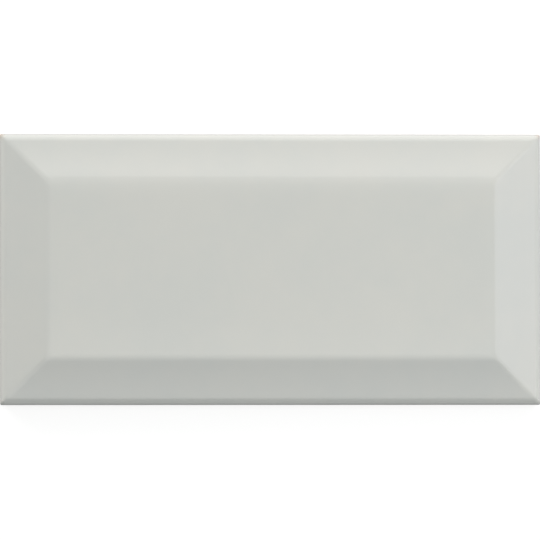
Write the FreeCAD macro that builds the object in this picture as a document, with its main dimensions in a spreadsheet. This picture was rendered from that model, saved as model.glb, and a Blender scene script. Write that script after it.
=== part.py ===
"""Bevelled subway wall tile, 75 x 150 mm: one piece of pressed and glazed ceramic.

The tile lies on its back on the XY plane, face up (+Z), with its length along X and its width along Y.
The origin is at the middle of the back. Lengths are in millimetres and angles in degrees.
"""

import FreeCAD, Part
import math
import os

import Sketcher
from FreeCAD import Vector

# Each driving dimension, with what it measures. They become the aliased cells of the sheet.
DIMENSIONS = {
    "tile_length": (150.0, "length over the sides"),
    "tile_width": (75.0, "width over the sides"),
    "tile_thickness": (8.0, "back to the flat field in the middle of the face"),
    "bevel_width": (12.8, "side of the tile to the line where a bevel would meet the field, unrounded"),
    "bevel_hollow_radius": (72.0, "hollow of a bevel, across its width"),
    "ridge_radius": (8.0, "soft turn from the field to a bevel"),
    "arris_radius": (2.5, "glazed round from a bevel to the side"),
    "corner_radius": (0.5, "upright corners of the outline, and the mitres where two bevels meet"),
    "land_height": (0.75, "upright part of the side, between the draft and the arris"),
    "draft_height": (2.0, "back to the foot of the upright part of the side"),
    "draft_inset": (0.3, "how far the side leans in below its upright part, to leave the die"),
    "back_chamfer": (0.4, "chamfer round the back, in height and in width"),
    "key_pitch": (10.7, "one key recess to the next"),
    "key_rib_width": (2.0, "flat rib between two key recesses"),
    "key_border": (5.5, "least plain border round the key recesses"),
    "key_depth": (0.7, "depth of a key recess"),
    "key_wall_lean": (30.0, "lean of a key recess's walls from upright"),
    "waste_margin": (2.0, "how far the outline of the waste runs clear of the blank"),
}

# How many key recesses the back has room for along one of its spans.
KEY_COUNT = "floor((dims.{span} - 2 * dims.key_border + dims.key_rib_width) / dims.key_pitch)"

NODE_NAME = "bevelled_tile"

# How a sketch names the parts of its geometry.
X_AXIS = -1
ORIGIN = (-1, 1)
START = 1
END = 2
CENTRE = 3

TOUCHING = 1e-4


def write_dimensions(doc):
    """Put the driving dimensions in a sheet and return it."""
    sheet = doc.addObject("Spreadsheet::Sheet", "dims")
    for row, (alias, (value, meaning)) in enumerate(DIMENSIONS.items(), 1):
        sheet.set(f"A{row}", meaning)
        sheet.set(f"B{row}", str(value))
        sheet.setAlias(f"B{row}", alias)
    doc.recompute()
    return sheet


def origin_feature(body, role):
    """Return the body's own origin plane or axis that has this role."""
    return next(feature for feature in body.Origin.OriginFeatures if feature.Role == role)


def attached_sketch(body, name, plane):
    """Return a new empty sketch of the body that lies on one of its origin planes."""
    sketch = body.newObject("Sketcher::SketchObject", name)
    sketch.AttachmentSupport = [(origin_feature(body, plane), "")]
    sketch.MapMode = "FlatFace"
    return sketch


def constrain(sketch, kind, *where):
    """Add a constraint that has no size."""
    sketch.addConstraint(Sketcher.Constraint(kind, *where))


def bind(sketch, name, expression, kind, *where):
    """Add a named sketch dimension that follows an expression."""
    value = sketch.evalExpression(expression)
    index = sketch.addConstraint(Sketcher.Constraint(kind, *where, float(value)))
    sketch.renameConstraint(index, name)
    sketch.setExpression(f"Constraints.{name}", expression)


def add_lines(sketch, points):
    """Draw straight lines from point to point, and join them."""
    lines = [sketch.addGeometry(Part.LineSegment(a, b)) for a, b in zip(points, points[1:])]
    for line, following in zip(lines, lines[1:]):
        constrain(sketch, "Coincident", line, END, following, START)
    return lines


def add_rectangle(sketch, low, high):
    """Draw a rectangle from its low corner to its high one: front, right, back and left side."""
    corners = [low, Vector(high.x, low.y), high, Vector(low.x, high.y)]
    front, right, back, left = add_lines(sketch, corners + corners[:1])
    constrain(sketch, "Coincident", left, END, front, START)
    constrain(sketch, "Horizontal", front)
    constrain(sketch, "Vertical", right)
    constrain(sketch, "Horizontal", back)
    constrain(sketch, "Vertical", left)
    return front, right, back, left


def settle(feature):
    """Work the feature out, and stop if it took nothing off the tile."""
    feature.Document.recompute()
    if feature.Shape.isNull() or feature.Shape.Volume >= feature.BaseFeature.Shape.Volume:
        raise RuntimeError(f"{feature.Name} removed nothing")


def pad_blank(body, sheet):
    """Make the plain block that the edges and the back are cut from."""
    sketch = attached_sketch(body, "blank_outline", "XY_Plane")
    far_corner = Vector(sheet.tile_length, sheet.tile_width) / 2
    front, right, back, _ = add_rectangle(sketch, -far_corner, far_corner)
    constrain(sketch, "Symmetric", front, START, back, START, *ORIGIN)
    bind(sketch, "length", "dims.tile_length", "DistanceX", front, START, front, END)
    bind(sketch, "width", "dims.tile_width", "DistanceY", right, START, right, END)

    blank = body.newObject("PartDesign::Pad", "blank")
    blank.Profile = sketch
    blank.setExpression("Length", "dims.tile_thickness")
    body.Document.recompute()


def arc_between(centre, start, end):
    """Return the arc about a centre that runs anticlockwise from start to end."""
    angles = [math.atan2(point.y - centre.y, point.x - centre.x) for point in (start, end)]
    circle = Part.Circle(centre, Vector(0, 0, 1), centre.distanceToPoint(start))
    return Part.ArcOfCircle(circle, *angles)


class EdgeCurve:
    """Where the arris, the hollow bevel and the ridge run into each other, in an edge's section.

    The section's x runs out from the middle of the tile and its y is the height. The hollow's circle
    lies above the bevel and touches the arris and ridge circles, which lie inside the tile.
    """

    def __init__(self, sheet, half_span):
        arris = sheet.arris_radius
        ridge = sheet.ridge_radius
        hollow = sheet.bevel_hollow_radius
        self.corner = Vector(half_span - sheet.bevel_width, sheet.tile_thickness)
        self.arris_centre = Vector(half_span - arris, sheet.draft_height + sheet.land_height)
        self.hollow_centre = self.centre_above(self.corner, hollow, self.arris_centre, hollow + arris)
        ridge_height = sheet.tile_thickness - ridge
        reach = math.sqrt((hollow + ridge) ** 2 - (self.hollow_centre.y - ridge_height) ** 2)
        self.ridge_centre = Vector(self.hollow_centre.x - reach, ridge_height)

        self.side = self.arris_centre + Vector(arris, 0)
        self.arris_end = self.towards_hollow(self.arris_centre, arris)
        self.ridge_start = self.towards_hollow(self.ridge_centre, ridge)
        self.field = self.ridge_centre + Vector(0, ridge)

    @staticmethod
    def centre_above(first, first_distance, second, second_distance):
        """Return the upper point at these distances from two points."""
        apart = second - first
        along = (apart.Length**2 + first_distance**2 - second_distance**2) / (2 * apart.Length)
        across = math.sqrt(first_distance**2 - along**2)
        direction = Vector(apart).normalize()
        upward = Vector(-direction.y, direction.x)
        return first + direction * along + upward * across

    def towards_hollow(self, centre, radius):
        """Return where a circle inside the tile touches the hollow's circle."""
        return centre + (self.hollow_centre - centre).normalize() * radius


def draw_edge_waste(body, sheet, name, plane, span):
    """Outline what comes off one edge of the tile: above its face, and at the draft and chamfer.

    All four edges have the same section, so that their bevels meet in 45 degree mitres.
    """
    half_span = sheet.get(span) / 2
    foot = half_span - sheet.draft_inset
    outside = half_span + sheet.waste_margin
    above = sheet.tile_thickness + sheet.waste_margin
    below = -sheet.waste_margin
    curve = EdgeCurve(sheet, half_span)

    sketch = attached_sketch(body, name, plane)
    straight_part = [
        curve.field,
        Vector(curve.field.x, above),
        Vector(outside, above),
        Vector(outside, below),
        Vector(foot - sheet.back_chamfer, below),
        Vector(foot - sheet.back_chamfer, 0),
        Vector(foot, sheet.back_chamfer),
        Vector(half_span, sheet.draft_height),
        curve.side,
    ]
    lines = add_lines(sketch, straight_part)
    field_side, top_side, outer_side, bottom_side, chamfer_side, chamfer, draft, land = lines
    arris = sketch.addGeometry(arc_between(curve.arris_centre, curve.side, curve.arris_end))
    bevel = sketch.addGeometry(arc_between(curve.hollow_centre, curve.ridge_start, curve.arris_end))
    ridge = sketch.addGeometry(arc_between(curve.ridge_centre, curve.ridge_start, curve.field))
    unrounded_corner = sketch.addGeometry(Part.Point(curve.corner), True)

    for upright in (field_side, outer_side, chamfer_side, land):
        constrain(sketch, "Vertical", upright)
    for level in (top_side, bottom_side):
        constrain(sketch, "Horizontal", level)
    constrain(sketch, "PointOnObject", chamfer, START, X_AXIS)
    constrain(sketch, "Tangent", land, END, arris, START)
    constrain(sketch, "Tangent", arris, END, bevel, END)
    constrain(sketch, "Tangent", bevel, START, ridge, START)
    constrain(sketch, "Coincident", ridge, END, field_side, START)
    constrain(sketch, "PointOnObject", ridge, CENTRE, field_side)
    constrain(sketch, "PointOnObject", unrounded_corner, START, bevel)

    corner = (unrounded_corner, START)
    bind(sketch, "half_span", f"dims.{span} / 2", "DistanceX", *ORIGIN, land, END)
    bind(sketch, "bevel_width", "dims.bevel_width", "DistanceX", *corner, land, END)
    bind(sketch, "corner_height", "dims.tile_thickness", "DistanceY", *ORIGIN, *corner)
    bind(sketch, "field_height", "dims.tile_thickness", "DistanceY", *ORIGIN, ridge, END)
    bind(sketch, "ridge_radius", "dims.ridge_radius", "Radius", ridge)
    bind(sketch, "hollow_radius", "dims.bevel_hollow_radius", "Radius", bevel)
    bind(sketch, "arris_radius", "dims.arris_radius", "Radius", arris)
    bind(sketch, "land_height", "dims.land_height", "DistanceY", land, START, land, END)
    bind(sketch, "draft_height", "dims.draft_height", "DistanceY", *ORIGIN, draft, END)
    bind(sketch, "draft_inset", "dims.draft_inset", "DistanceX", draft, START, draft, END)
    bind(sketch, "chamfer_width", "dims.back_chamfer", "DistanceX", chamfer, START, chamfer, END)
    bind(sketch, "chamfer_height", "dims.back_chamfer", "DistanceY", chamfer, START, chamfer, END)
    bind(sketch, "clear_above", "dims.waste_margin", "DistanceY", field_side, START, field_side, END)
    bind(sketch, "clear_outside", "dims.waste_margin", "DistanceX", land, END, top_side, END)
    bind(sketch, "clear_below", "dims.waste_margin", "DistanceY", chamfer_side, START, *ORIGIN)
    return sketch


def cut_opposite_edges(body, sheet, name, plane, span, mirror_plane):
    """Cut the section along one edge of the blank, and mirror the cut to the opposite edge."""
    cut = body.newObject("PartDesign::Pocket", name)
    cut.Profile = draw_edge_waste(body, sheet, f"{name}_section", plane, span)
    cut.Type = "ThroughAll"
    cut.SideType = "Symmetric"
    settle(cut)

    opposite = body.newObject("PartDesign::Mirrored", f"{name}_opposite")
    opposite.Originals = [cut]
    opposite.MirrorPlane = (origin_feature(body, mirror_plane), [""])
    body.Tip = opposite
    settle(opposite)


def is_upright_corner(edge, sheet):
    """Tell whether an edge stands upright at a corner of the tile's outline."""
    corner = (sheet.tile_length / 2, sheet.tile_width / 2)
    foot, top = edge.Vertexes[0], edge.Vertexes[-1]
    upright = math.dist((foot.X, foot.Y), (top.X, top.Y)) < TOUCHING
    return upright and math.dist((abs(foot.X), abs(foot.Y)), corner) < TOUCHING


def round_corners(body, sheet):
    """Round the upright corners, and the mitre that runs on from each up to the field."""
    base = body.Tip
    edges = enumerate(base.Shape.Edges, 1)
    corners = [f"Edge{number}" for number, edge in edges if is_upright_corner(edge, sheet)]
    fillet = body.newObject("PartDesign::Fillet", "corners")
    fillet.Base = (base, corners)
    fillet.setExpression("Radius", "dims.corner_radius")
    settle(fillet)


def cut_key_grid(body):
    """Sink the grid of shallow recesses in the back, which adhesive keys into.

    A recess is a wedge that narrows as it goes in. The wedge stands on the XZ plane, so its y is the
    tile's height and its z runs against the tile's width.
    """
    columns = KEY_COUNT.format(span="tile_length")
    rows = KEY_COUNT.format(span="tile_width")
    mouth = "(dims.key_pitch - dims.key_rib_width)"
    inset = "dims.key_depth * tan(dims.key_wall_lean)"
    grid_left = f"-({columns} * dims.key_pitch - dims.key_rib_width) / 2"
    grid_front = f"({rows} * dims.key_pitch - dims.key_rib_width) / 2"

    recess = body.newObject("PartDesign::SubtractiveWedge", "key_recess")
    recess.AttachmentSupport = [(origin_feature(body, "XZ_Plane"), "")]
    recess.MapMode = "FlatFace"
    recess.Ymin = 0
    recess.setExpression("Ymax", "dims.key_depth")
    recess.setExpression("Xmin", grid_left)
    recess.setExpression("X2min", f"{grid_left} + {inset}")
    recess.setExpression("X2max", f"{grid_left} + {mouth} - {inset}")
    recess.setExpression("Xmax", f"{grid_left} + {mouth}")
    recess.setExpression("Zmin", f"{grid_front} - {mouth}")
    recess.setExpression("Z2min", f"{grid_front} - {mouth} + {inset}")
    recess.setExpression("Z2max", f"{grid_front} - {inset}")
    recess.setExpression("Zmax", grid_front)
    settle(recess)

    grid = body.newObject("PartDesign::LinearPattern", "key_grid")
    grid.Originals = [recess]
    grid.Direction = (origin_feature(body, "X_Axis"), [""])
    grid.Direction2 = (origin_feature(body, "Y_Axis"), [""])
    grid.setExpression("Occurrences", columns)
    grid.setExpression("Occurrences2", rows)
    grid.setExpression("Length", f"({columns} - 1) * dims.key_pitch")
    grid.setExpression("Length2", f"({rows} - 1) * dims.key_pitch")
    body.Tip = grid
    settle(grid)


def build_tile(doc, sheet):
    """Build the tile as one body."""
    body = doc.addObject("PartDesign::Body", NODE_NAME)
    body.Label = NODE_NAME
    body.Placement = FreeCAD.Placement()
    pad_blank(body, sheet)
    cut_opposite_edges(body, sheet, "long_edge", "YZ_Plane", "tile_width", "XZ_Plane")
    cut_opposite_edges(body, sheet, "short_edge", "XZ_Plane", "tile_length", "YZ_Plane")
    round_corners(body, sheet)
    cut_key_grid(body)
    return body


def check(doc, body):
    """Stop if any feature failed or the tile isn't one sound solid."""
    failed = [thing.Name for thing in doc.Objects if {"Invalid", "Error"} & set(thing.State)]
    if failed:
        raise RuntimeError(f"these failed: {failed}")
    shape = body.Shape
    if shape.isNull() or not shape.isValid() or len(shape.Solids) != 1:
        raise RuntimeError(f"{body.Label} isn't one sound solid")


def main():
    """Build the tile, check it and write it to the parts folder."""
    doc = FreeCAD.newDocument("subway_tile")
    sheet = write_dimensions(doc)
    body = build_tile(doc, sheet)
    check(doc, body)
    os.makedirs("parts", exist_ok=True)
    body.Shape.exportStep(f"parts/{body.Label}.step")
    print(f"{body.Label}: {body.Shape.Volume:.1f} mm3, {len(body.Shape.Faces)} faces")


main()
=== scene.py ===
"""A glazed wall tile with four wide bevels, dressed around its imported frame.

The tile is one fired piece, so it is one mesh. Rings shaped like rounded rectangles climb from the
back over the bare side, the lip of the glaze, the arris, the hollow bevel and the ridge to the field,
and the back between the key recesses is filled in flat. Lengths in this file are millimetres unless a
name says otherwise, and they are scaled to the frame's metres where a mesh or a node takes them.
"""
import logging
import math
from dataclasses import dataclass, field
from enum import Enum
from typing import Any

import bpy
from mathutils import Matrix, Vector


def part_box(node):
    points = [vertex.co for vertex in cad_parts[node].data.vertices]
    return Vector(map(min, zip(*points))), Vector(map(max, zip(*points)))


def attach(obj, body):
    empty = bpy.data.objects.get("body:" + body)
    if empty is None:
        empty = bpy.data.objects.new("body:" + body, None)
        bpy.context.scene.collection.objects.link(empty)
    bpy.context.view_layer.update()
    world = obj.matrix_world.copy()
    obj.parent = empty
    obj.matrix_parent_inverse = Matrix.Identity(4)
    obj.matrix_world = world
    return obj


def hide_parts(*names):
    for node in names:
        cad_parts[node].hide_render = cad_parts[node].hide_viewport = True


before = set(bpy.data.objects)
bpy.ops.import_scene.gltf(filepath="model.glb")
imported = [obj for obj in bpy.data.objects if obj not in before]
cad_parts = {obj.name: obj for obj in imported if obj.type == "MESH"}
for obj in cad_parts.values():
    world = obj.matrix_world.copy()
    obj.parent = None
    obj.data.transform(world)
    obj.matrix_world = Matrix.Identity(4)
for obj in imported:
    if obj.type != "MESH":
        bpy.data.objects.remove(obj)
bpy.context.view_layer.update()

MM = 0.001
WELD = 0.001 * MM
# The band between which smooth noise spends most of its way.
NOISE_LOW = 0.3
NOISE_HIGH = 0.7
NODE = "bevelled_tile"
BODY = "root"
log = logging.getLogger("tile")


class Kind(Enum):
    """The kinds of socket that a node tree takes in or gives out."""

    NUMBER = "NodeSocketFloat"
    COUNT = "NodeSocketInt"
    VECTOR = "NodeSocketVector"
    COLOUR = "NodeSocketColor"
    MESH = "NodeSocketGeometry"
    OBJECT = "NodeSocketObject"
    MATERIAL = "NodeSocketMaterial"


class Wire:
    """What one node gives out; arithmetic on it adds the math nodes that the formula needs."""

    def __init__(self, board: "Board", socket: bpy.types.NodeSocket) -> None:
        """Keep the socket and the board that further nodes go on.

        Args:
            board: The board whose tree holds the socket.
            socket: The output that this wire starts from.
        """
        self.board = board
        self.socket = socket

    def __add__(self, other: Any) -> "Wire":
        """Give the sum with another value."""
        return self.board.math("ADD", self, other)

    def __sub__(self, other: Any) -> "Wire":
        """Give this value less another."""
        return self.board.math("SUBTRACT", self, other)

    def __mul__(self, other: Any) -> "Wire":
        """Give the product with another value."""
        return self.board.math("MULTIPLY", self, other)

    def __truediv__(self, other: Any) -> "Wire":
        """Give this value over another."""
        return self.board.math("DIVIDE", self, other)


class Board:
    """A node tree under construction, written as formulas and not as single links."""

    COLUMNS = 14
    STEP_X = 190.0
    STEP_Y = 260.0

    def __init__(self, tree: bpy.types.NodeTree) -> None:
        """Start on an empty tree.

        Args:
            tree: The tree that receives the nodes.
        """
        self.tree = tree
        self.tree.nodes.clear()
        self.given: dict[str, Wire] = {}

    def takes(self, sockets: dict[str, tuple[Kind, Any]]) -> None:
        """Give the tree its named inputs.

        Args:
            sockets: Each input's name, with its kind and its default, or None for no default.
        """
        for name, (kind, default) in sockets.items():
            socket = self.tree.interface.new_socket(name=name, in_out="INPUT", socket_type=kind.value)
            if default is not None:
                socket.default_value = default
        source = self.place("NodeGroupInput")
        self.given = {name: Wire(self, source.outputs[name]) for name in sockets}

    def gives(self, results: dict[str, tuple[Kind, Wire]]) -> None:
        """Give the tree its named outputs.

        Args:
            results: Each output's name, with its kind and the wire that feeds it.
        """
        for name, (kind, _) in results.items():
            self.tree.interface.new_socket(name=name, in_out="OUTPUT", socket_type=kind.value)
        self.place("NodeGroupOutput", {name: wire for name, (_, wire) in results.items()})

    def place(self, kind: str, inputs: dict[Any, Any] | None = None, **options: Any) -> bpy.types.Node:
        """Add a node.

        Args:
            kind: The node's type.
            inputs: What feeds each input, by its name or number: a wire or a plain value.
            options: The node's own settings.

        Returns:
            The new node.
        """
        node = self.tree.nodes.new(kind)
        row, column = divmod(len(self.tree.nodes) - 1, self.COLUMNS)
        node.location = (column * self.STEP_X, -row * self.STEP_Y)
        for option, value in options.items():
            setattr(node, option, value)
        for name, value in (inputs or {}).items():
            self.feed(node.inputs[name], value)
        return node

    def feed(self, target: bpy.types.NodeSocket, value: Any) -> None:
        """Link a wire into an input, or set the input to a plain value.

        Args:
            target: The input.
            value: A wire, or what the input's default becomes.
        """
        if isinstance(value, Wire):
            self.tree.links.new(value.socket, target)
        else:
            target.default_value = value

    def get(self, kind: str, inputs: dict[Any, Any] | None = None, out: Any = 0, **options: Any) -> Wire:
        """Add a node and give one of its outputs.

        Args:
            kind: The node's type.
            inputs: What feeds each input.
            out: The output's name or number.
            options: The node's own settings.

        Returns:
            The output as a wire.
        """
        return self.out(self.place(kind, inputs, **options), out)

    def out(self, node: bpy.types.Node, name: Any) -> Wire:
        """Give one of a node's outputs, by its name or number."""
        return Wire(self, node.outputs[name])

    def group(self, tree: bpy.types.NodeTree, inputs: dict[str, Any]) -> bpy.types.Node:
        """Add a node group.

        Args:
            tree: The group's own tree.
            inputs: What feeds each of its named inputs.

        Returns:
            The group node.
        """
        shader = self.tree.bl_idname == "ShaderNodeTree"
        node = self.place("ShaderNodeGroup" if shader else "GeometryNodeGroup", node_tree=tree)
        for name, value in inputs.items():
            self.feed(node.inputs[name], value)
        return node

    def math(self, operation: str, *values: Any, clamp: bool = False) -> Wire:
        """Give a number worked out from others.

        Args:
            operation: The math node's operation.
            values: Its operands, in order.
            clamp: Whether the result is kept between 0 and 1.

        Returns:
            The result.
        """
        return self.get("ShaderNodeMath", dict(enumerate(values)), operation=operation, use_clamp=clamp)

    def vector(self, operation: str, *values: Any) -> Wire:
        """Give a vector worked out from others.

        Args:
            operation: The vector math node's operation.
            values: Its operands, in order.

        Returns:
            The result.
        """
        return self.get("ShaderNodeVectorMath", dict(enumerate(values)), operation=operation)

    def scaled(self, vector: Any, factor: Any) -> Wire:
        """Give a vector times a number."""
        return self.get("ShaderNodeVectorMath", {0: vector, "Scale": factor}, operation="SCALE")

    def kept_between(self, vector: Any, low: Any, high: Any) -> Wire:
        """Give a vector with each part kept between two limits."""
        return self.vector("MINIMUM", self.vector("MAXIMUM", vector, low), high)

    def parts(self, vector: Any) -> tuple[Wire, Wire, Wire]:
        """Give a vector's x, y and z."""
        node = self.place("ShaderNodeSeparateXYZ", {0: vector})
        return self.out(node, 0), self.out(node, 1), self.out(node, 2)

    def joined(self, x: Any, y: Any, z: Any) -> Wire:
        """Give the vector that has these parts."""
        return self.get("ShaderNodeCombineXYZ", {0: x, 1: y, 2: z})

    def union(self, *meshes: Wire) -> Wire:
        """Give several geometries as one.

        Args:
            meshes: The geometries.

        Returns:
            All of them together.
        """
        node = self.place("GeometryNodeJoinGeometry")
        for mesh in reversed(meshes):
            self.tree.links.new(mesh.socket, node.inputs[0])
        return self.out(node, 0)

    def welded(self, mesh: Wire) -> Wire:
        """Give a mesh with the points that fall together joined."""
        return self.get("GeometryNodeMergeByDistance", {"Geometry": mesh, "Distance": WELD})

    def stored(self, mesh: Wire, name: str, value: Wire, kind: str, domain: str) -> Wire:
        """Give a mesh that carries a named value.

        Args:
            mesh: The mesh.
            name: The value's name.
            value: The value.
            kind: Its data type.
            domain: Whether each point or each face has one.

        Returns:
            The mesh with the value.
        """
        feeds = {"Geometry": mesh, "Name": name, "Value": value}
        return self.get("GeometryNodeStoreNamedAttribute", feeds, data_type=kind, domain=domain)

    def carried(self, name: str, kind: str) -> Wire:
        """Give the named value that a mesh carries."""
        return self.get("GeometryNodeInputNamedAttribute", {"Name": name}, data_type=kind)

    def clad(self, mesh: Wire, material: Wire, selection: Any = True) -> Wire:
        """Give a mesh with a material on all of its faces or on the selected ones."""
        feeds = {"Geometry": mesh, "Selection": selection, "Material": material}
        return self.get("GeometryNodeSetMaterial", feeds)

    def ramp(self, value: Any, start: float, end: float, low: float = 0.0, high: float = 1.0) -> Wire:
        """Give a number that goes smoothly from one level to another.

        Args:
            value: What the ramp follows.
            start: Where it leaves the first level.
            end: Where it reaches the second.
            low: The first level.
            high: The second level.

        Returns:
            The level at value.
        """
        ends = {0: value, 1: start, 2: end, 3: low, 4: high}
        return self.get("ShaderNodeMapRange", ends, interpolation_type="SMOOTHSTEP")

    def drift(self, noise: Wire, low: float = 0.0, high: float = 1.0) -> Wire:
        """Give a level that follows smooth noise over the band where it mostly lies."""
        return self.ramp(noise, NOISE_LOW, NOISE_HIGH, low, high)

    def noise(
        self, at: Any, scale: Any, detail: float = 2.0, seed: Any = 0.0, roughness: float = 0.5
    ) -> Wire:
        """Give smooth noise between 0 and 1, mostly near the middle.

        Args:
            at: The place where it is read.
            scale: How many of its waves fit in a metre.
            detail: How many finer octaves it has.
            seed: Which of many like patterns it is.
            roughness: How strong the finer octaves are.

        Returns:
            The noise.
        """
        feeds = {"Vector": at, "W": seed, "Scale": scale, "Detail": detail, "Roughness": roughness}
        return self.get("ShaderNodeTexNoise", feeds, noise_dimensions="4D")

    def blend(self, factor: Any, first: Any, second: Any) -> Wire:
        """Give two colours mixed.

        Args:
            factor: How much of the second colour shows.
            first: The first colour.
            second: The second colour.

        Returns:
            The mixed colour.
        """
        feeds = {0: factor, 6: first, 7: second}
        return self.get("ShaderNodeMix", feeds, 2, data_type="RGBA")


def per_metre(wave: float) -> float:
    """Give the noise scale whose waves are about this many millimetres long."""
    return 1.0 / (wave * MM)


def circle_meet(first: Vector, first_reach: float, second: Vector, second_reach: float) -> Vector:
    """Find a point at two distances from two others, on the left of the way from first to second.

    Args:
        first: The first point.
        first_reach: The distance from it.
        second: The second point.
        second_reach: The distance from that.

    Returns:
        The point.
    """
    way = second - first
    along = (first_reach**2 - second_reach**2 + way.length_squared) / (2.0 * way.length)
    aside = math.sqrt(first_reach**2 - along**2)
    unit = way.normalized()
    return first + unit * along + Vector((-unit.y, unit.x)) * aside


def turned(vector: Vector, angle: float) -> Vector:
    """Give a flat vector turned anticlockwise by an angle in radians."""
    cosine, sine = math.cos(angle), math.sin(angle)
    return Vector((vector.x * cosine - vector.y * sine, vector.x * sine + vector.y * cosine))


def arc(centre: Vector, start: Vector, end: Vector, steps: int) -> list[Vector]:
    """Divide the short arc about a centre evenly.

    Args:
        centre: The arc's centre.
        start: Its first point.
        end: Its last point, as far from the centre.
        steps: How many pieces it is cut into.

    Returns:
        All its points, both ends among them.
    """
    spoke = start - centre
    turn = -spoke.angle_signed(end - centre)
    return [centre + turned(spoke, turn * step / steps) for step in range(steps + 1)]


def eased_path(corners: list[tuple[float, float, float]], steps: int = 3) -> list[Vector]:
    """Run straight from corner to corner, each rounded by an arc.

    Args:
        corners: Each corner's two coordinates and its radius, which is 0 where it stays sharp.
        steps: How many pieces each arc is cut into.

    Returns:
        The points of the path.
    """
    path = []
    for index, (x, y, radius) in enumerate(corners):
        corner = Vector((x, y))
        if radius == 0.0:
            path.append(corner)
            continue
        back = (Vector(corners[index - 1][:2]) - corner).normalized()
        ahead = (Vector(corners[index + 1][:2]) - corner).normalized()
        half_angle = back.angle(ahead) / 2.0
        setback = radius / math.tan(half_angle)
        centre = corner + (back + ahead).normalized() * radius / math.sin(half_angle)
        path += arc(centre, corner + back * setback, corner + ahead * setback, steps)
    return path


@dataclass(frozen=True)
class EdgeSection:
    """The tile's edge as an upright cut shows it: how far in from the side, against how high."""

    thickness: float
    middle: float
    back_chamfer: float = 0.4
    back_easing: float = 0.12
    draft_inset: float = 0.3
    draft_height: float = 2.0
    land_height: float = 0.75
    glaze_thickness: float = 0.08
    lip_easing: float = 0.03
    arris_radius: float = 2.5
    bevel_width: float = 12.8
    hollow_radius: float = 72.0
    ridge_radius: float = 8.0
    back_support: float = 0.8
    outline_corner: float = 0.5
    mitre_corner: float = 1.3
    mitre_start: float = 4.0
    field_rings: int = 14
    field_crowding: float = 1.6
    arris_steps: int = 12
    hollow_steps: int = 10
    ridge_steps: int = 8

    def bare_part(self) -> list[Vector]:
        """Give the unglazed stretch, from the back round the chamfer and up the draft to the glaze.

        Returns:
            Its points.
        """
        foot = self.draft_inset + self.back_chamfer
        skin = self.glaze_thickness
        corners = [
            (foot + self.back_support, 0.0, 0.0),
            (foot, 0.0, self.back_easing),
            (self.draft_inset + skin, self.back_chamfer, self.back_easing),
            (skin, self.draft_height, 0.0),
        ]
        return eased_path(corners)

    def lip(self) -> list[Vector]:
        """Give the glaze's rounded lower rim, which stands proud of the bare side.

        Returns:
            Its points.
        """
        skin = self.glaze_thickness
        corners = [
            (skin * 0.5, self.draft_height, 0.0),
            (0.0, self.draft_height + skin, self.lip_easing),
            (0.0, self.draft_height + self.land_height * 0.5, 0.0),
        ]
        return eased_path(corners)

    def glazed_part(self) -> list[Vector]:
        """Give the arris, the hollow of the bevel and the ridge, each meeting the next smoothly.

        Returns:
            Their points, from the side up to the field.
        """
        land_top = self.draft_height + self.land_height
        arris = Vector((self.arris_radius, land_top))
        corner = Vector((self.bevel_width, self.thickness))
        arris_reach = self.hollow_radius + self.arris_radius
        hollow = circle_meet(arris, arris_reach, corner, self.hollow_radius)
        reach = self.hollow_radius + self.ridge_radius
        ridge_y = self.thickness - self.ridge_radius
        ridge = Vector((hollow.x + math.sqrt(reach**2 - (hollow.y - ridge_y) ** 2), ridge_y))
        first_tangent = arris + (hollow - arris).normalized() * self.arris_radius
        second_tangent = ridge + (hollow - ridge).normalized() * self.ridge_radius
        field_edge = Vector((ridge.x, self.thickness))
        path = arc(arris, Vector((0.0, land_top)), first_tangent, self.arris_steps)
        path += arc(hollow, first_tangent, second_tangent, self.hollow_steps)[1:]
        path += arc(ridge, second_tangent, field_edge, self.ridge_steps)[1:]
        return path

    def field_part(self, start: float) -> list[Vector]:
        """Give the level stretch from the ridge to the middle of the tile.

        Args:
            start: How far in from the side the ridge ends.

        Returns:
            The rings' places on the field, close together by the ridge and wider apart inwards.
        """
        places = []
        for ring in range(1, self.field_rings + 1):
            share = (ring / self.field_rings) ** self.field_crowding
            places.append(Vector((start + (self.middle - start) * share, self.thickness)))
        return places

    def corner_at(self, inset: float) -> float:
        """Give the radius of the ring's corners: small at the outline, larger where the mitre is soft.

        Args:
            inset: How far in from the side the ring lies.

        Returns:
            The radius.
        """
        share = min(max(inset / self.mitre_start, 0.0), 1.0)
        radius = self.outline_corner + (self.mitre_corner - self.outline_corner) * share
        return min(radius, self.middle - inset)

    def rings(self) -> tuple[list[Vector], int]:
        """Give every ring as a vector of inset, corner radius and height, in metres.

        Returns:
            The rings, from the back to the middle of the field, and how many of them are bare.
        """
        bare = self.bare_part()
        glazed = self.lip() + self.glazed_part()
        path = bare + glazed
        path += self.field_part(path[-1].x)
        rings = [Vector((point.x, self.corner_at(point.x), point.y)) * MM for point in path]
        return rings, len(bare)


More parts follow.
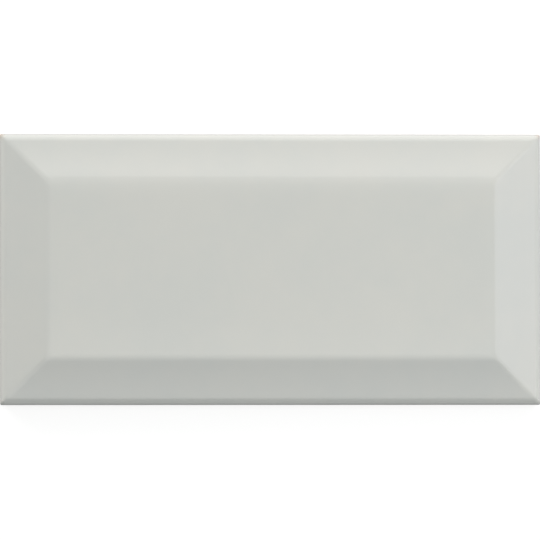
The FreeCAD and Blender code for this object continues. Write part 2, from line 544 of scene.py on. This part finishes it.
@dataclass(frozen=True)
class KeyRecess:
    """One of the shallow square recesses in the back, which the adhesive grips."""

    pitch: float = 10.7
    rib_width: float = 2.0
    border: float = 5.5
    depth: float = 0.7
    wall_lean: float = 30.0
    rim_easing: float = 0.15
    floor_easing: float = 0.3
    rim_support: float = 0.25
    mouth_corner: float = 1.3
    floor_corner: float = 0.9

    @property
    def half_mouth(self) -> float:
        """Give half the width of the recess at the back."""
        return (self.pitch - self.rib_width) / 2.0

    def count(self, span: float) -> int:
        """Give how many recesses fit along a side.

        Args:
            span: The side's length.

        Returns:
            The number that leaves the border clear.
        """
        return math.floor((span - 2.0 * self.border + self.rib_width) / self.pitch)

    def rings(self) -> list[Vector]:
        """Give the recess as rings of inset, corner radius and height, from its rim to its middle.

        Returns:
            The rings, in metres.
        """
        lean = self.depth * math.tan(math.radians(self.wall_lean))
        corners = [
            (-self.rim_support, 0.0, 0.0),
            (0.0, 0.0, self.rim_easing),
            (lean, self.depth, self.floor_easing),
            (self.half_mouth, self.depth, 0.0),
        ]
        rings = []
        for point in eased_path(corners):
            share = min(max(point.x / lean, 0.0), 1.0)
            corner = self.mouth_corner + (self.floor_corner - self.mouth_corner) * share
            rings.append(Vector((point.x, min(corner, self.half_mouth - point.x), point.y)) * MM)
        return rings


def ring_object(name: str, rings: list[Vector]) -> bpy.types.Object:
    """Put rings in an object that the node tree can read.

    Args:
        name: The object's name.
        rings: The rings, as the sections give them.

    Returns:
        The object, whose points are the rings in order.
    """
    mesh = bpy.data.meshes.new(name)
    mesh.from_pydata(rings, [(i, i + 1) for i in range(len(rings) - 1)], [])
    holder = bpy.data.objects.new(name, mesh)
    bpy.context.scene.collection.objects.link(holder)
    return holder


def ring_loft() -> bpy.types.NodeTree:
    """Build the group that skins rounded rectangles, one above the other.

    Its Rings mesh has a point for each ring: x is how far in it lies, y the radius of its corners and
    z its height. Around the ring the points crowd towards the corners.

    Returns:
        The node group.
    """
    tree = bpy.data.node_groups.new("rounded_ring_loft", "GeometryNodeTree")
    board = Board(tree)
    board.takes({
        "Rings": (Kind.MESH, None),
        "Half Length": (Kind.NUMBER, 0.075),
        "Half Width": (Kind.NUMBER, 0.0375),
        "Side Steps": (Kind.COUNT, 96),
        "Crowding": (Kind.NUMBER, 0.75),
    })
    given = board.given
    count = board.get("GeometryNodeAttributeDomainSize", {0: given["Rings"]}, "Point Count")
    around = given["Side Steps"] * 4.0 + 1.0
    grid = board.get("GeometryNodeMeshGrid", {"Vertices X": around, "Vertices Y": count})
    index = board.get("GeometryNodeInputIndex")
    column = board.math("FLOOR", index / count)
    ring = index - column * count
    sample = board.place("GeometryNodeSampleIndex", data_type="FLOAT_VECTOR", domain="POINT")
    board.feed(sample.inputs[0], given["Rings"])
    board.feed(sample.inputs[1], board.get("GeometryNodeInputPosition"))
    board.feed(sample.inputs[2], ring)
    inset, corner, height = board.parts(board.out(sample, 0))
    side = column / given["Side Steps"]
    crowd = board.math("SINE", side * math.tau) * given["Crowding"] / math.tau
    place = side - crowd
    wave_x = board.math("PINGPONG", place + 0.5, 2.0) * 2.0 - 2.0
    wave_y = board.math("PINGPONG", place - 0.5, 2.0) * 2.0 - 2.0
    wave = board.kept_between(board.joined(wave_x, wave_y, 0.0), (-1.0,) * 3, (1.0,) * 3)
    half = board.joined(given["Half Length"] - inset, given["Half Width"] - inset, 0.0)
    outline = board.vector("MULTIPLY", wave, half)
    inner = board.vector("SUBTRACT", half, board.joined(corner, corner, 0.0))
    low = board.vector("MULTIPLY", inner, (-1.0,) * 3)
    core = board.kept_between(outline, low, inner)
    spoke = board.scaled(board.vector("NORMALIZE", board.vector("SUBTRACT", outline, core)), corner)
    spot = board.vector("ADD", board.vector("ADD", core, spoke), board.joined(0.0, 0.0, height))
    moved = board.get("GeometryNodeSetPosition", {"Geometry": grid, "Position": spot})
    marked = board.stored(moved, "ring", ring, "FLOAT", "POINT")
    board.gives({"Mesh": (Kind.MESH, marked)})
    return tree


@dataclass(frozen=True)
class Tone:
    """A finish's plain colour, in linear light."""

    red: float
    green: float
    blue: float

    def rgba(self) -> tuple[float, float, float, float]:
        """Give the colour as a socket takes it."""
        return (self.red, self.green, self.blue, 1.0)


def blank_material(name: str) -> tuple[bpy.types.Material, Board]:
    """Make a material that has no nodes yet.

    Args:
        name: The material's name.

    Returns:
        The material, and the board that its nodes go on.
    """
    material = bpy.data.materials.new(name)
    material.use_nodes = True
    return material, Board(material.node_tree)


def cloud_group() -> bpy.types.NodeTree:
    """Build the effect of a tone that drifts over the surface in soft clouds.

    Returns:
        The node group, which gives the colour.
    """
    octaves = 3.0
    wide_share = 0.7
    fine_share = 0.3
    fine_seed_step = 7.0
    tree = bpy.data.node_groups.new("drifting_tone", "ShaderNodeTree")
    board = Board(tree)
    board.takes({
        "Vector": (Kind.VECTOR, None),
        "Base": (Kind.COLOUR, (0.5, 0.5, 0.5, 1.0)),
        "Drift": (Kind.COLOUR, (0.5, 0.5, 0.5, 1.0)),
        "Wide Scale": (Kind.NUMBER, 40.0),
        "Fine Scale": (Kind.NUMBER, 200.0),
        "Strength": (Kind.NUMBER, 0.5),
        "Seed": (Kind.NUMBER, 1.0),
    })
    given = board.given
    fine_seed = given["Seed"] + fine_seed_step
    wide = board.noise(given["Vector"], given["Wide Scale"], octaves, given["Seed"])
    fine = board.noise(given["Vector"], given["Fine Scale"], octaves, fine_seed)
    cloud = board.drift(wide * wide_share + fine * fine_share)
    colour = board.blend(cloud * given["Strength"], given["Base"], given["Drift"])
    board.gives({"Color": (Kind.COLOUR, colour)})
    return tree


def speck_group() -> bpy.types.NodeTree:
    """Build the effect of small scattered dots, such as pinholes in a glaze or iron in a clay.

    Returns:
        The node group, which gives a mask of the dots.
    """
    smallest_dot = 0.4
    tree = bpy.data.node_groups.new("scattered_specks", "ShaderNodeTree")
    board = Board(tree)
    board.takes({
        "Vector": (Kind.VECTOR, None),
        "Scale": (Kind.NUMBER, 300.0),
        "Size": (Kind.NUMBER, 0.2),
        "Share": (Kind.NUMBER, 0.1),
    })
    given = board.given
    cells = board.place("ShaderNodeTexVoronoi", {"Vector": given["Vector"], "Scale": given["Scale"]})
    distance = board.out(cells, "Distance")
    chance = board.parts(board.out(cells, "Color"))[0]
    picked = board.math("LESS_THAN", chance, given["Share"])
    reach = given["Size"] * (chance / given["Share"] + smallest_dot)
    dot = board.math("SUBTRACT", 1.0, distance / reach, clamp=True)
    board.gives({"Mask": (Kind.NUMBER, dot * picked)})
    return tree


def edge_group() -> bpy.types.NodeTree:
    """Build the effect that finds the tile's outline and its four corners from the Object coordinates.

    Returns:
        The node group, which gives a mask near the outline and one near the corners.
    """
    tree = bpy.data.node_groups.new("outline_reach", "ShaderNodeTree")
    board = Board(tree)
    board.takes({
        "Vector": (Kind.VECTOR, None),
        "Half Length": (Kind.NUMBER, 0.075),
        "Half Width": (Kind.NUMBER, 0.0375),
        "Edge Width": (Kind.NUMBER, 0.002),
        "Corner Width": (Kind.NUMBER, 0.004),
    })
    given = board.given
    x, y, _ = board.parts(given["Vector"])
    gap_x = given["Half Length"] - board.math("ABSOLUTE", x)
    gap_y = given["Half Width"] - board.math("ABSOLUTE", y)
    nearest = board.math("MINIMUM", gap_x, gap_y)
    edge = board.math("SUBTRACT", 1.0, nearest / given["Edge Width"], clamp=True)
    across = board.math("SQRT", gap_x * gap_x + gap_y * gap_y)
    corner = board.math("SUBTRACT", 1.0, across / given["Corner Width"], clamp=True)
    board.gives({"Edge": (Kind.NUMBER, edge), "Corner": (Kind.NUMBER, corner)})
    return tree


@dataclass(frozen=True)
class Effects:
    """The shader groups that the finishes share."""

    cloud: bpy.types.NodeTree
    speck: bpy.types.NodeTree
    edge: bpy.types.NodeTree


@dataclass(frozen=True)
class GlazeFinish:
    """A glossy warm light grey glaze: softly clouded, thin at some corners, duller along its rim, and
    darkened there by painted shade.
    """

    name: str = "light_grey_glaze"
    base: Tone = Tone(0.594, 0.600, 0.568)
    drift: Tone = Tone(0.568, 0.584, 0.560)
    thin: Tone = Tone(0.52, 0.42, 0.33)
    pinhole: Tone = Tone(0.33, 0.32, 0.29)
    wide_wave: float = 26.0
    fine_wave: float = 5.0
    hole_spacing: float = 7.0
    hole_size: float = 0.03
    hole_share: float = 0.12
    hole_tint: float = 0.6
    hole_dip: float = 2.0
    thin_tint: float = 0.8
    thin_reach: float = 2.0
    thin_falloff: float = 1.5
    thin_wave: float = 45.0
    thin_seed: float = 10.5
    thin_from: float = 0.4
    thin_to: float = 0.6
    rim_reach: float = 0.6
    rim_full: float = 0.8
    corner_full: float = 0.5
    rim_dullness: float = 0.4
    # Painted shade: a darker grey laid along the outline, standing in for the shaded edge.
    rim_painted_shade_tone: Tone = Tone(0.44, 0.445, 0.44)
    rim_painted_shade_share: float = 0.6
    gloss: float = 0.16
    gloss_spread: float = 0.03
    gloss_wave: float = 1.1
    gloss_seed: float = 5.0
    coat: float = 0.5
    coat_gloss: float = 0.06
    ripple_wave: float = 3.2
    ripple_depth: float = 0.006
    ripple_seed: float = 3.0

    def build(self, effects: Effects, half: Vector) -> bpy.types.Material:
        """Make the material.

        Args:
            effects: The shared shader groups.
            half: Half the tile's length and width, in metres.

        Returns:
            The material.
        """
        material, board = blank_material(self.name)
        place = board.get("ShaderNodeTexCoord", out="Object")
        cloud = board.group(effects.cloud, {
            "Vector": place,
            "Base": self.base.rgba(),
            "Drift": self.drift.rgba(),
            "Wide Scale": per_metre(self.wide_wave),
            "Fine Scale": per_metre(self.fine_wave),
            "Strength": 1.0,
        })
        reach = board.group(effects.edge, {
            "Vector": place,
            "Half Length": half.x,
            "Half Width": half.y,
            "Edge Width": self.rim_reach * MM,
            "Corner Width": self.thin_reach * MM,
        })
        holes = board.group(effects.speck, {
            "Vector": place,
            "Scale": per_metre(self.hole_spacing),
            "Size": self.hole_size,
            "Share": self.hole_share,
        })
        rim = board.ramp(board.out(reach, "Edge"), 0.0, self.rim_full)
        at_corner = board.out(reach, "Corner")
        dull = board.math("MAXIMUM", rim, board.ramp(at_corner, 0.0, self.corner_full))
        # Painted shade: the glaze colour is darkened near the outline.
        colour = board.blend(rim * self.rim_painted_shade_share, board.out(cloud, "Color"), self.rim_painted_shade_tone.rgba())
        patches = board.noise(place, per_metre(self.thin_wave), 0.0, self.thin_seed)
        chance = board.ramp(patches, self.thin_from, self.thin_to)
        thinned = board.math("POWER", at_corner, self.thin_falloff)
        colour = board.blend(thinned * chance * self.thin_tint, colour, self.thin.rgba())
        pit = board.out(holes, "Mask")
        colour = board.blend(pit * self.hole_tint, colour, self.pinhole.rgba())
        ripple = board.noise(place, per_metre(self.ripple_wave), seed=self.ripple_seed)
        bump = board.get("ShaderNodeBump", {
            "Strength": 1.0,
            "Distance": self.ripple_depth * MM,
            "Height": ripple - pit * self.hole_dip,
        })
        fine = board.noise(place, per_metre(self.gloss_wave), seed=self.gloss_seed)
        roughness = board.drift(fine, self.gloss - self.gloss_spread, self.gloss + self.gloss_spread)
        shader = board.get("ShaderNodeBsdfPrincipled", {
            "Base Color": colour,
            "Roughness": roughness + dull * self.rim_dullness,
            "Normal": bump,
            "Coat Weight": board.math("SUBTRACT", 1.0, dull) * self.coat,
            "Coat Roughness": self.coat_gloss,
        })
        board.place("ShaderNodeOutputMaterial", {"Surface": shader})
        return material


@dataclass(frozen=True)
class BareClayFinish:
    """The bare fired clay of the sides and the back: buff, matt, gritty and a little dusty."""

    name: str = "bare_fired_clay"
    base: Tone = Tone(0.66, 0.535, 0.385)
    drift: Tone = Tone(0.58, 0.450, 0.310)
    dust: Tone = Tone(0.72, 0.68, 0.61)
    iron: Tone = Tone(0.22, 0.12, 0.07)
    wide_wave: float = 30.0
    fine_wave: float = 2.0
    cloud_strength: float = 0.8
    iron_spacing: float = 1.6
    iron_size: float = 0.16
    iron_share: float = 0.08
    iron_tint: float = 0.8
    spray_reach: float = 1.4
    spray_tint: float = 0.75
    spray_rim: float = 0.2
    rub_reach: float = 2.0
    rub_tint: float = 0.25
    dull: float = 0.82
    dullest: float = 0.95
    shine: float = 0.3
    grain_wave: float = 0.45
    grain_depth: float = 0.05
    grain_octaves: float = 4.0
    grain_harshness: float = 0.65
    grain_seed: float = 2.0

    def build(self, effects: Effects, half: Vector) -> bpy.types.Material:
        """Make the material.

        Args:
            effects: The shared shader groups.
            half: Half the tile's length and width, in metres.

        Returns:
            The material.
        """
        material, board = blank_material(self.name)
        place = board.get("ShaderNodeTexCoord", out="Object")
        cloud = board.group(effects.cloud, {
            "Vector": place,
            "Base": self.base.rgba(),
            "Drift": self.drift.rgba(),
            "Wide Scale": per_metre(self.wide_wave),
            "Fine Scale": per_metre(self.fine_wave),
            "Strength": self.cloud_strength,
        })
        iron = board.group(effects.speck, {
            "Vector": place,
            "Scale": per_metre(self.iron_spacing),
            "Size": self.iron_size,
            "Share": self.iron_share,
        })
        reach = board.group(effects.edge, {
            "Vector": place,
            "Half Length": half.x,
            "Half Width": half.y,
            "Edge Width": self.rub_reach * MM,
        })
        rubbed = board.out(reach, "Edge")
        gap = board.get("ShaderNodeAttribute", out="Fac", attribute_name="glaze_gap")
        spray = board.ramp(gap, 0.0, self.spray_reach, self.spray_tint, 0.0)
        spray = spray * board.ramp(rubbed, 0.0, self.spray_rim)
        dust = board.math("MAXIMUM", spray, rubbed * self.rub_tint)
        colour = board.blend(dust, board.out(cloud, "Color"), self.dust.rgba())
        colour = board.blend(board.out(iron, "Mask") * self.iron_tint, colour, self.iron.rgba())
        grain = board.noise(
            place, per_metre(self.grain_wave), self.grain_octaves, self.grain_seed, self.grain_harshness
        )
        bump = board.get("ShaderNodeBump", {
            "Strength": 1.0,
            "Distance": self.grain_depth * MM,
            "Height": grain,
        })
        shader = board.get("ShaderNodeBsdfPrincipled", {
            "Base Color": colour,
            "Roughness": board.drift(grain, self.dull, self.dullest),
            "Normal": bump,
            "Specular IOR Level": self.shine,
        })
        board.place("ShaderNodeOutputMaterial", {"Surface": shader})
        return material


@dataclass
class BevelledTile:
    """The tile: its sizes, its one mesh and its two finishes."""

    half: Vector
    thickness: float
    keys: KeyRecess = KeyRecess()
    glaze: GlazeFinish = GlazeFinish()
    clay: BareClayFinish = BareClayFinish()
    side_steps: int = 96
    key_side_steps: int = 8
    crowding: float = 0.75
    seed: int = 11
    run_depth: float = 0.55
    run_middle: float = 0.5
    broad_run: float = 1.2
    broad_run_wave: float = 14.0
    broad_run_from: float = 0.35
    broad_run_to: float = 0.75
    broad_run_octaves: float = 1.0
    fine_run: float = 0.9
    fine_run_wave: float = 3.0
    fine_run_seed_step: float = 4.0
    run_from: float = 0.5
    run_full: float = 1.5
    run_fade: float = 0.6
    wave_depth: float = 0.03
    wave_length: float = 17.0
    wave_octaves: float = 1.0
    wave_seed_step: float = 9.0
    wave_from: float = 3.0
    wave_full: float = 6.0
    soft_ridge_sag: float = 0.10
    soft_ridge_width: float = 1.7
    soft_ridge_shift: float = 0.5
    soft_ridge_from: float = -3.0
    soft_ridge_full: float = 4.0
    section: EdgeSection = field(init=False)

    def __post_init__(self) -> None:
        """Work out the edge section from the tile's own sizes."""
        self.section = EdgeSection(self.thickness, self.half.y)

    def inputs(self, bare: int) -> dict[str, tuple[Kind, Any]]:
        """Give the named inputs of the tile's node tree, with lengths in metres.

        Args:
            bare: How many of the edge's rings are bare clay.

        Returns:
            Each input's kind and value; those without a value are data that build() hands in.
        """
        half = self.half * MM
        ridge_inset = self.section.bevel_width + self.soft_ridge_shift
        return {
            "Geometry": (Kind.MESH, None),
            "Key Rings": (Kind.OBJECT, None),
            "Half Length": (Kind.NUMBER, half.x),
            "Half Width": (Kind.NUMBER, half.y),
            "Bare Rings": (Kind.COUNT, bare),
            "Side Steps": (Kind.COUNT, self.side_steps),
            "Crowding": (Kind.NUMBER, self.crowding),
            "Key Half Mouth": (Kind.NUMBER, self.keys.half_mouth * MM),
            "Key Side Steps": (Kind.COUNT, self.key_side_steps),
            "Key Pitch": (Kind.NUMBER, self.keys.pitch * MM),
            "Key Columns": (Kind.COUNT, self.keys.count(2.0 * self.half.x)),
            "Key Rows": (Kind.COUNT, self.keys.count(2.0 * self.half.y)),
            "Glaze Line": (Kind.NUMBER, self.section.draft_height * MM),
            "Run Depth": (Kind.NUMBER, self.run_depth * MM),
            "Wave Depth": (Kind.NUMBER, self.wave_depth * MM),
            "Soft Ridge Sag": (Kind.NUMBER, self.soft_ridge_sag * MM),
            "Soft Ridge Inset": (Kind.NUMBER, ridge_inset * MM),
            "Soft Ridge Width": (Kind.NUMBER, self.soft_ridge_width * MM),
            "Seed": (Kind.NUMBER, float(self.seed)),
            "Glaze": (Kind.MATERIAL, None),
            "Clay": (Kind.MATERIAL, None),
        }

    def tree(
        self, loft: bpy.types.NodeTree, inputs: dict[str, tuple[Kind, Any]]
    ) -> bpy.types.NodeTree:
        """Build the tree that turns the edge's rings into the finished tile.

        Args:
            loft: The group that skins rings.
            inputs: The tree's named inputs.

        Returns:
            The geometry node tree.
        """
        tree = bpy.data.node_groups.new("bevelled_tile_body", "GeometryNodeTree")
        tree.is_modifier = True
        board = Board(tree)
        board.takes(inputs)
        body = self.body_branch(board, loft)
        recesses = self.key_branch(board, loft)
        shell = board.get("GeometryNodeRealizeInstances", {"Geometry": board.union(body, recesses)})
        faces_beside = board.get("GeometryNodeInputMeshEdgeNeighbors")
        open_edge = board.math("LESS_THAN", faces_beside, 2.0)
        rims = board.get("GeometryNodeMeshToCurve", {"Mesh": shell, "Selection": open_edge})
        web = board.get("GeometryNodeFillCurve", {"Curve": rims})
        web = board.get("GeometryNodeFlipFaces", {"Mesh": web})
        closed = board.welded(board.union(shell, web))
        x, y, z = board.parts(board.get("GeometryNodeInputPosition"))
        gap = (self.glaze_line(board, x, y) - z) / MM
        marked = board.stored(closed, "glaze_gap", gap, "FLOAT", "POINT")
        smooth = board.get("GeometryNodeSetShadeSmooth", {"Geometry": marked})
        tile = board.get("GeometryNodeRealizeInstances", {"Geometry": smooth})
        tile = board.clad(tile, board.given["Clay"])
        tile = board.clad(tile, board.given["Glaze"], board.carried("glazed", "BOOLEAN"))
        board.gives({"Geometry": (Kind.MESH, tile)})
        return tree

    def glaze_line(self, board: Board, x: Wire, y: Wire) -> Wire:
        """Give the height at which the glaze ends on the side, which wanders and runs down in places.

        Args:
            board: The tree's board.
            x: The place along the tile.
            y: The place across it.

        Returns:
            The height.
        """
        given = board.given
        at = board.joined(x, y, 0.0)
        fine_seed = given["Seed"] + self.fine_run_seed_step
        broad = board.noise(at, per_metre(self.broad_run_wave), self.broad_run_octaves, given["Seed"])
        broad = board.ramp(broad, self.broad_run_from, self.broad_run_to)
        fine = board.noise(at, per_metre(self.fine_run_wave), seed=fine_seed)
        run = broad * self.broad_run + fine * self.fine_run - self.run_middle
        return given["Glaze Line"] - given["Run Depth"] * run

    def body_branch(self, board: Board, loft: bpy.types.NodeTree) -> Wire:
        """Skin the edge's rings, mark the glazed stretch, and let the glaze run and ripple.

        Args:
            board: The tree's board.
            loft: The group that skins rings.

        Returns:
            The tile's body, open at the back.
        """
        given = board.given
        skin = board.group(loft, {
            "Rings": given["Geometry"],
            "Half Length": given["Half Length"],
            "Half Width": given["Half Width"],
            "Side Steps": given["Side Steps"],
            "Crowding": given["Crowding"],
        })
        # A face's ring is the mean of its two, so the first glazed face lies half a ring below the lip.
        half_ring_and_margin = 0.6
        first_glazed = given["Bare Rings"] - half_ring_and_margin
        glazed = board.math("GREATER_THAN", board.carried("ring", "FLOAT"), first_glazed)
        body = board.welded(board.stored(board.out(skin, 0), "glazed", glazed, "BOOLEAN", "FACE"))
        x, y, z = board.parts(board.get("GeometryNodeInputPosition"))
        line = self.section.draft_height
        below = board.ramp(z, self.run_from * MM, self.run_full * MM)
        above = board.ramp(z, line * MM, (line + self.run_fade) * MM, 1.0, 0.0)
        run = (self.glaze_line(board, x, y) - given["Glaze Line"]) * board.math("MINIMUM", below, above)
        inset_y = given["Half Width"] - y
        inset_x = given["Half Length"] - board.math("ABSOLUTE", x)
        near = (inset_y - given["Soft Ridge Inset"]) / given["Soft Ridge Width"]
        bell = board.math("EXPONENT", near * near * -1.0)
        past_mitre = inset_x - inset_y
        own_side = board.ramp(past_mitre, self.soft_ridge_from * MM, self.soft_ridge_full * MM)
        sag = bell * own_side * given["Soft Ridge Sag"]
        lift = board.joined(0.0, 0.0, run - sag)
        body = board.get("GeometryNodeSetPosition", {"Geometry": body, "Offset": lift})
        here = board.get("GeometryNodeInputPosition")
        wave_seed = given["Seed"] + self.wave_seed_step
        swell = board.noise(here, per_metre(self.wave_length), self.wave_octaves, wave_seed)
        rise = board.ramp(z, self.wave_from * MM, self.wave_full * MM)
        depth = rise * given["Wave Depth"] * swell
        inward = board.scaled(board.get("GeometryNodeInputNormal"), depth * -1.0)
        return board.get("GeometryNodeSetPosition", {"Geometry": body, "Offset": inward})

    def key_branch(self, board: Board, loft: bpy.types.NodeTree) -> Wire:
        """Repeat the recess over the back.

        Args:
            board: The tree's board.
            loft: The group that skins rings.

        Returns:
            All recesses as instances, open at their mouths.
        """
        given = board.given
        rings = board.get("GeometryNodeObjectInfo", {"Object": given["Key Rings"]}, "Geometry")
        skin = board.group(loft, {
            "Rings": rings,
            "Half Length": given["Key Half Mouth"],
            "Half Width": given["Key Half Mouth"],
            "Side Steps": given["Key Side Steps"],
            "Crowding": given["Crowding"],
        })
        recess = board.welded(board.get("GeometryNodeFlipFaces", {"Mesh": board.out(skin, 0)}))
        grid = board.get("GeometryNodeMeshGrid", {
            "Size X": (given["Key Columns"] - 1.0) * given["Key Pitch"],
            "Size Y": (given["Key Rows"] - 1.0) * given["Key Pitch"],
            "Vertices X": given["Key Columns"],
            "Vertices Y": given["Key Rows"],
        })
        return board.get("GeometryNodeInstanceOnPoints", {"Points": grid, "Instance": recess})

    def build(self, effects: Effects) -> bpy.types.Object:
        """Make the tile's mesh and dress it.

        Args:
            effects: The shared shader groups.

        Returns:
            The tile, as a plain mesh at the origin.
        """
        rings, bare = self.section.rings()
        tile = ring_object("glazed_bevelled_tile", rings)
        key_holder = ring_object("key_recess_rings", self.keys.rings())
        inputs = self.inputs(bare)
        tree = self.tree(ring_loft(), inputs)
        modifier = tile.modifiers.new("body", "NODES")
        modifier.node_group = tree
        half = self.half * MM
        values = {name: value for name, (_, value) in inputs.items() if value is not None}
        values["Key Rings"] = key_holder
        values["Glaze"] = self.glaze.build(effects, half)
        values["Clay"] = self.clay.build(effects, half)
        for socket in tree.interface.items_tree:
            if socket.in_out == "INPUT" and socket.name in values:
                modifier[socket.identifier] = values[socket.name]
        settle(tile)
        bpy.data.objects.remove(key_holder)
        return tile


def settle(piece: bpy.types.Object) -> None:
    """Replace a piece's modifiers by the plain mesh that they make, without its unused material slots.

    Args:
        piece: The piece, whose modifiers are then gone.
    """
    graph = bpy.context.evaluated_depsgraph_get()
    mesh = bpy.data.meshes.new_from_object(
        piece.evaluated_get(graph), preserve_all_data_layers=True, depsgraph=graph
    )
    mesh.name = piece.name
    for index in reversed(range(len(mesh.materials))):
        if mesh.materials[index] is None:
            mesh.materials.pop(index=index)
    piece.modifiers.clear()
    piece.data = mesh


@dataclass(frozen=True)
class Lamp:
    """A soft square lamp that looks at the tile and may be mirrored in its glaze."""

    name: str
    azimuth: float
    elevation: float
    distance: float
    size: float
    power: float
    colour: Tone
    mirrored: bool = False

    def build(self) -> bpy.types.Object:
        """Hang the lamp, with azimuth counted from +X towards +Y.

        Returns:
            The lamp.
        """
        data = bpy.data.lights.new(self.name, "AREA")
        data.shape = "SQUARE"
        data.size = self.size
        data.energy = self.power
        data.color = self.colour.rgba()[:3]
        lamp = bpy.data.objects.new(self.name, data)
        around, up = math.radians(self.azimuth), math.radians(self.elevation)
        way = Vector((math.cos(around) * math.cos(up), math.sin(around) * math.cos(up), math.sin(up)))
        lamp.location = way * self.distance
        lamp.rotation_euler = way.to_track_quat("Z", "Y").to_euler()
        lamp.visible_glossy = self.mirrored
        bpy.context.scene.collection.objects.link(lamp)
        return lamp


@dataclass(frozen=True)
class Studio:
    """The plain pale floor, the soft light and the camera."""

    half: Vector
    floor_half: float = 1500.0
    floor_opening: float = 0.3
    floor_tone: Tone = Tone(0.36, 0.36, 0.36)
    floor_glow: float = 0.76
    sky: Tone = Tone(0.394, 0.407, 0.409)
    lens: float = 600.0
    sensor: float = 36.0
    seen_width: float = 149.46
    lean_x: float = 4.0
    lean_y: float = 2.38
    roll: float = 0.137
    aim: Vector = field(default_factory=lambda: Vector((-0.25, -0.17, 4.0)))
    lamps: tuple[Lamp, ...] = (
        Lamp(
            "key_lamp", azimuth=60.0, elevation=8.0, distance=1.3, size=0.8, power=14.0,
            colour=Tone(1.0, 0.971, 0.994),
        ),
        Lamp(
            "left_lamp", azimuth=135.0, elevation=8.0, distance=1.3, size=0.8, power=17.3,
            colour=Tone(1.0, 0.958, 0.911),
        ),
        Lamp(
            "right_lamp", azimuth=0.0, elevation=20.0, distance=1.3, size=0.8, power=2.2,
            colour=Tone(0.941, 1.0, 0.779),
        ),
        Lamp(
            "near_lamp", azimuth=0.0, elevation=45.0, distance=0.45, size=0.3, power=0.330,
            colour=Tone(0.950, 0.933, 1.0), mirrored=True,
        ),
        Lamp(
            "front_panel", azimuth=270.0, elevation=72.0, distance=0.74, size=0.5, power=0.463,
            colour=Tone(0.940, 0.957, 1.0), mirrored=True,
        ),
        Lamp(
            "right_panel", azimuth=0.0, elevation=78.0, distance=0.74, size=0.5, power=0.324,
            colour=Tone(1.0, 0.938, 0.744), mirrored=True,
        ),
        Lamp(
            "under_lamp", azimuth=250.0, elevation=-28.0, distance=0.9, size=0.5, power=8.0,
            colour=Tone(1.0, 1.0, 1.0),
        ),
    )

    def floor(self) -> bpy.types.Object:
        """Lay the floor, open under the tile so that its back is lit when it is seen from below.

        Returns:
            The floor.
        """
        inner = [self.half.x - self.floor_opening, self.half.y - self.floor_opening]
        corners = [(-1, -1), (1, -1), (1, 1), (-1, 1)]
        points = [(x * self.floor_half * MM, y * self.floor_half * MM, 0.0) for x, y in corners]
        points += [(x * inner[0] * MM, y * inner[1] * MM, 0.0) for x, y in corners]
        faces = [(i, (i + 1) % 4, (i + 1) % 4 + 4, i + 4) for i in range(4)]
        mesh = bpy.data.meshes.new("studio_floor")
        mesh.from_pydata(points, [], faces)
        mesh.materials.append(self.floor_material())
        floor = bpy.data.objects.new("studio_floor", mesh)
        bpy.context.scene.collection.objects.link(floor)
        return floor

    def seen(self, board: Board) -> Wire:
        """Give 1 for the rays that show the backdrop, straight, mirrored or through glass, and else 0.

        Args:
            board: The tree's board.

        Returns:
            The mask.
        """
        path = board.place("ShaderNodeLightPath")
        names = ("Is Camera Ray", "Is Glossy Ray", "Is Transmission Ray")
        straight, mirrored, through = (board.out(path, name) for name in names)
        return board.math("MAXIMUM", board.math("MAXIMUM", straight, mirrored), through)

    def floor_material(self) -> bpy.types.Material:
        """Make the floor's white, which keeps a soft shadow and can't be seen from below.

        Returns:
            The material.
        """
        material, board = blank_material("studio_white")
        lit = board.get("ShaderNodeBsdfDiffuse", {"Color": self.floor_tone.rgba()})
        glow = board.get("ShaderNodeEmission", {"Strength": self.seen(board) * self.floor_glow})
        top = board.get("ShaderNodeAddShader", {0: lit, 1: glow})
        below = board.get("ShaderNodeNewGeometry", out="Backfacing")
        clear = board.get("ShaderNodeBsdfTransparent")
        board.place("ShaderNodeOutputMaterial", {
            "Surface": board.get("ShaderNodeMixShader", {0: below, 1: top, 2: clear}),
        })
        return material

    def world(self) -> None:
        """Light the tile evenly from all round, with a plain white behind it."""
        world = bpy.data.worlds.new("studio_world")
        world.use_nodes = True
        board = Board(world.node_tree)
        colour = board.blend(self.seen(board), self.sky.rgba(), (1.0,) * 4)
        light = board.get("ShaderNodeBackground", {"Color": colour})
        board.place("ShaderNodeOutputWorld", {"Surface": light})
        bpy.context.scene.world = world

    def camera(self) -> None:
        """Look down from afar, a little from the left and from the tile's lower side."""
        data = bpy.data.cameras.new("studio_camera")
        data.lens = self.lens
        data.sensor_width = self.sensor
        camera = bpy.data.objects.new("studio_camera", data)
        back = Vector((-math.sin(math.radians(self.lean_x)), -math.sin(math.radians(self.lean_y)), 0.0))
        back.z = math.sqrt(1.0 - back.length_squared)
        level = Vector((0.0, 1.0, 0.0)).cross(back).normalized()
        upright = back.cross(level)
        cosine, sine = math.cos(math.radians(self.roll)), math.sin(math.radians(self.roll))
        across = level * cosine - upright * sine
        along = level * sine + upright * cosine
        reach = self.seen_width * self.lens / self.sensor
        camera.location = (self.aim + back * reach) * MM
        camera.rotation_euler = Matrix((across, along, back)).transposed().to_euler()
        bpy.context.scene.collection.objects.link(camera)
        bpy.context.scene.camera = camera

    def build(self) -> None:
        """Set up the floor, the world, the lamps and the camera."""
        self.floor()
        self.world()
        for lamp in self.lamps:
            lamp.build()
        self.camera()
        bpy.context.scene.view_settings.view_transform = "Standard"


def main() -> None:
    """Build the studio and the tile, and hand the tile to the frame."""
    logging.basicConfig(level=logging.INFO, format="%(name)s: %(message)s")
    low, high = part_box(NODE)
    half = Vector(((high.x - low.x) / 2.0, (high.y - low.y) / 2.0)) / MM
    Studio(half).build()
    log.info("studio ready")
    effects = Effects(cloud_group(), speck_group(), edge_group())
    tile = BevelledTile(half, (high.z - low.z) / MM).build(effects)
    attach(tile, BODY)
    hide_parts(NODE)
    log.info("%s: %d faces", tile.name, len(tile.data.polygons))


if __name__ == "__main__":
    main()
